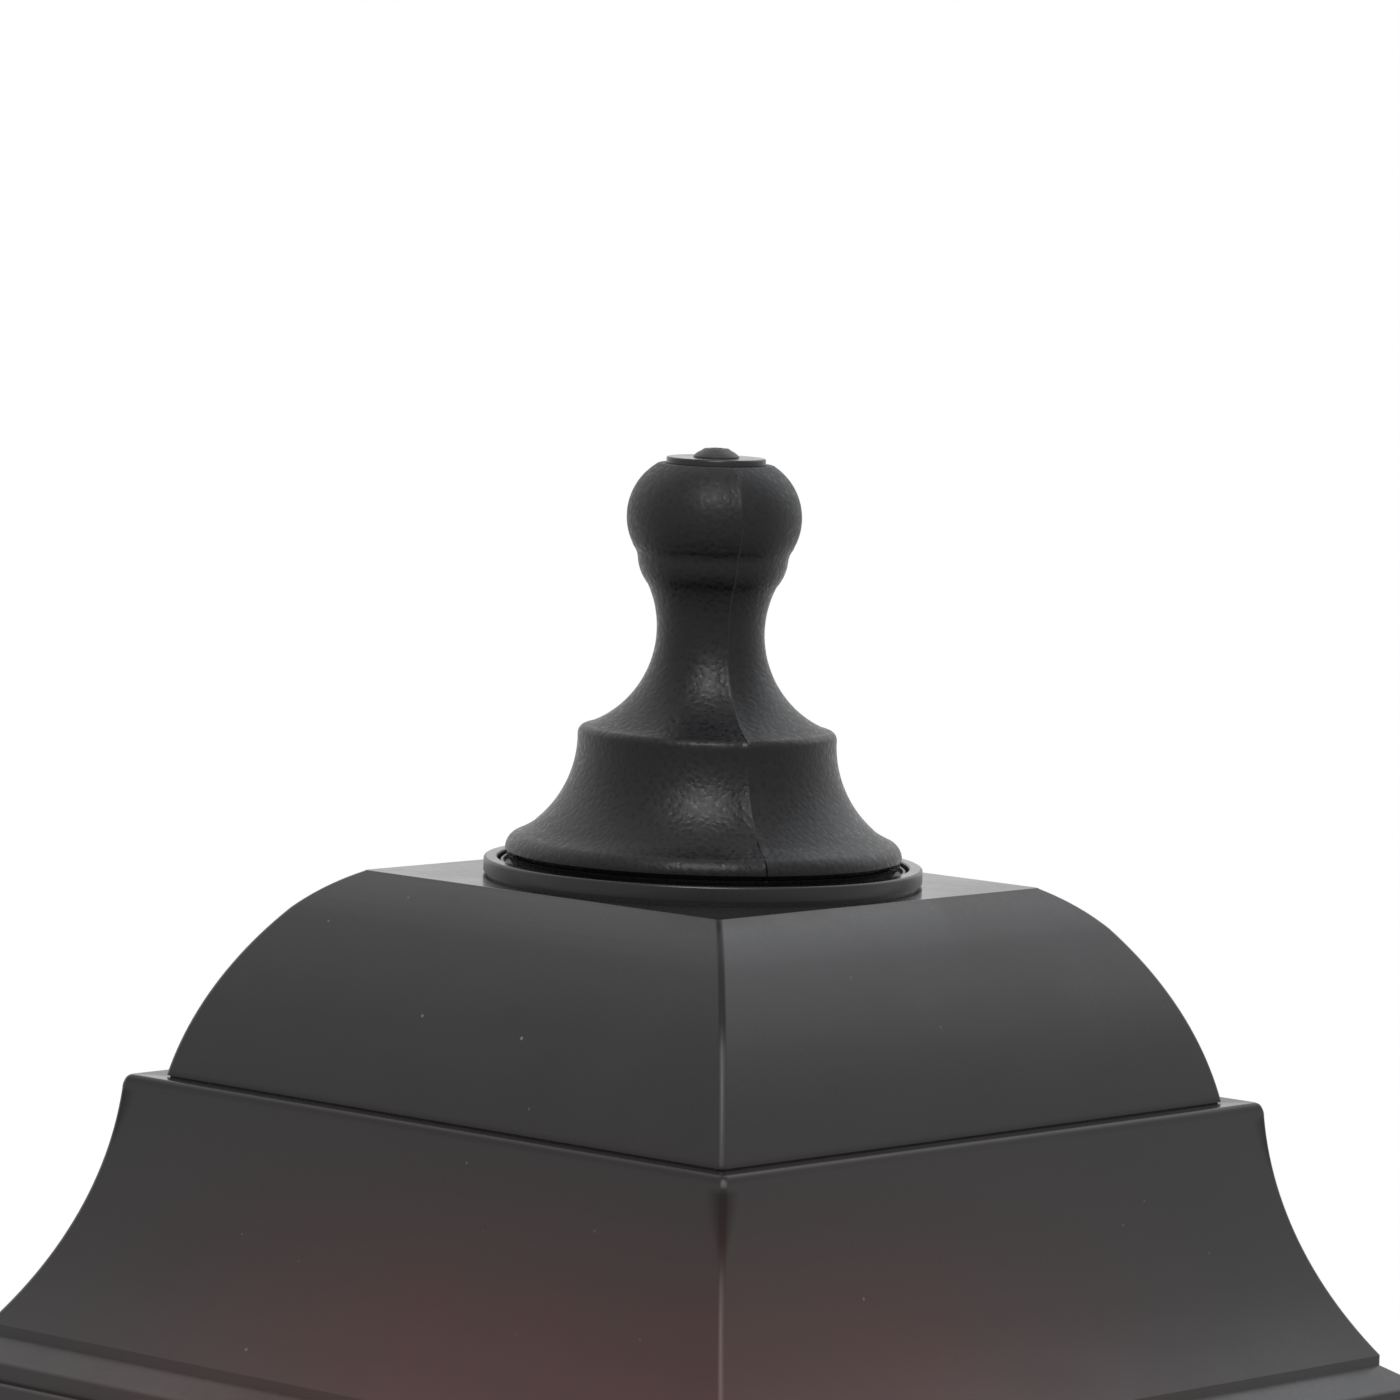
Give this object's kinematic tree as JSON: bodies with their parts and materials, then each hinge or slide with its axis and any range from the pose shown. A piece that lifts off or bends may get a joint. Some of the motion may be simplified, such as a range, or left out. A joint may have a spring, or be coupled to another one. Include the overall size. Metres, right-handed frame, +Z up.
{
  "type": "outdoor wall lamp",
  "caption": "Four-sided lantern wall lamp with a stepped roof and turned finial, standing on a curved arm from a moulded wall plate.",
  "frame": {"origin": "on the wall, midway between the two wall screw slots, in the plane of the wall plate's back", "axes": "+Z up, +Y into the wall, so the lantern stands out towards -Y; +X to the right seen from the front"},
  "size_m": [0.165, 0.2105, 0.368],
  "materials": {
    "black_roof": "satin moulded plastic, smooth",
    "black_grained": "moulded plastic with a leather grain",
    "black_collar": "semi-gloss moulded plastic",
    "black_moulding": "satin moulded plastic, smooth",
    "black_painted": "satin black paint",
    "clear_pane": "clear, polished",
    "zinc_steel": "zinc plated",
    "brass": "plain",
    "black_rubber": "matte",
    "grey_seal": "matte silicone",
    "holder_plastic": "heat-resistant moulded plastic",
    "white_core": "white moulded insulating material",
    "cap_metal": "bright rolled metal",
    "bulb_glass": "clear, polished",
    "filament": "phosphor coating",
    "brown_insulation": "wire insulation",
    "blue_insulation": "wire insulation"
  },
  "bodies": {
    "root": {"wall_plate": "black_moulding", "wall_gasket": "black_rubber", "wall_strap": "zinc_steel", "canopy_studs": "zinc_steel", "stud_washers": "black_painted", "acorn_nuts": "black_painted", "cable_grommet": "black_rubber", "arm_tube": "black_painted", "arm_rosette": "black_moulding", "arm_locknut": "zinc_steel", "arm_bush": "zinc_steel", "base_nipple": "zinc_steel", "nipple_locknut": "zinc_steel", "base_cup": "black_moulding", "base_pan": "black_moulding", "sill_frame": "black_moulding", "post_front_left": "black_moulding", "post_front_right": "black_moulding", "post_back_left": "black_moulding", "post_back_right": "black_moulding", "pane_front": "clear_pane", "pane_back": "clear_pane", "pane_left": "clear_pane", "pane_right": "clear_pane", "top_frame": "black_moulding", "post_screws_upper": "zinc_steel", "post_screws_lower": "zinc_steel", "roof_bridge": "zinc_steel", "bridge_screws": "zinc_steel", "bridge_insert": "brass", "roof_gasket": "black_rubber", "holder_cap": "holder_plastic", "holder_skirt": "holder_plastic", "holder_core": "white_core", "thread_sleeve": "cap_metal", "centre_contact": "brass", "terminal_block": "white_core", "wire_brown": "brown_insulation", "wire_blue": "blue_insulation"},
    "roof": {"roof_shell": "black_roof", "collar_ring": "black_collar", "finial_seal": "grey_seal", "finial": "black_grained", "penny_washer": "black_painted"},
    "screw_carrier": {"screw_retainer": "black_rubber"},
    "cap_screw": {"cap_screw": "black_painted"},
    "bulb": {"bulb_glass": "bulb_glass", "bulb_base": "cap_metal", "bulb_insulator": "holder_plastic", "bulb_contact": "brass", "bulb_stem": "bulb_glass", "led_filaments": "filament", "filament_leads": "cap_metal"}
  },
  "joints": [
    {"name": "roof_lift", "type": "slide", "parent": "root", "child": "roof", "axis": [0, 0, 1], "range_m": [0, 0.12]},
    {"name": "cap_screw_rise", "type": "slide", "parent": "roof", "child": "screw_carrier", "axis": [0, 0, 1], "range_m": [0, 0.008]},
    {"name": "cap_screw_turn", "type": "hinge", "parent": "screw_carrier", "child": "cap_screw", "pos_m": [0, -0.128, 0.3036], "axis": [0, 0, 1], "range_deg": [0, 4115]},
    {"name": "bulb_turn", "type": "hinge", "parent": "root", "child": "bulb", "pos_m": [0, -0.128, 0.0442], "axis": [0, 0, 1], "range_deg": [0, 1260]}
  ],
  "couplings": [
    {"joint": "cap_screw_turn", "follows": "cap_screw_rise", "rad_per_m": 8976}
  ]
}
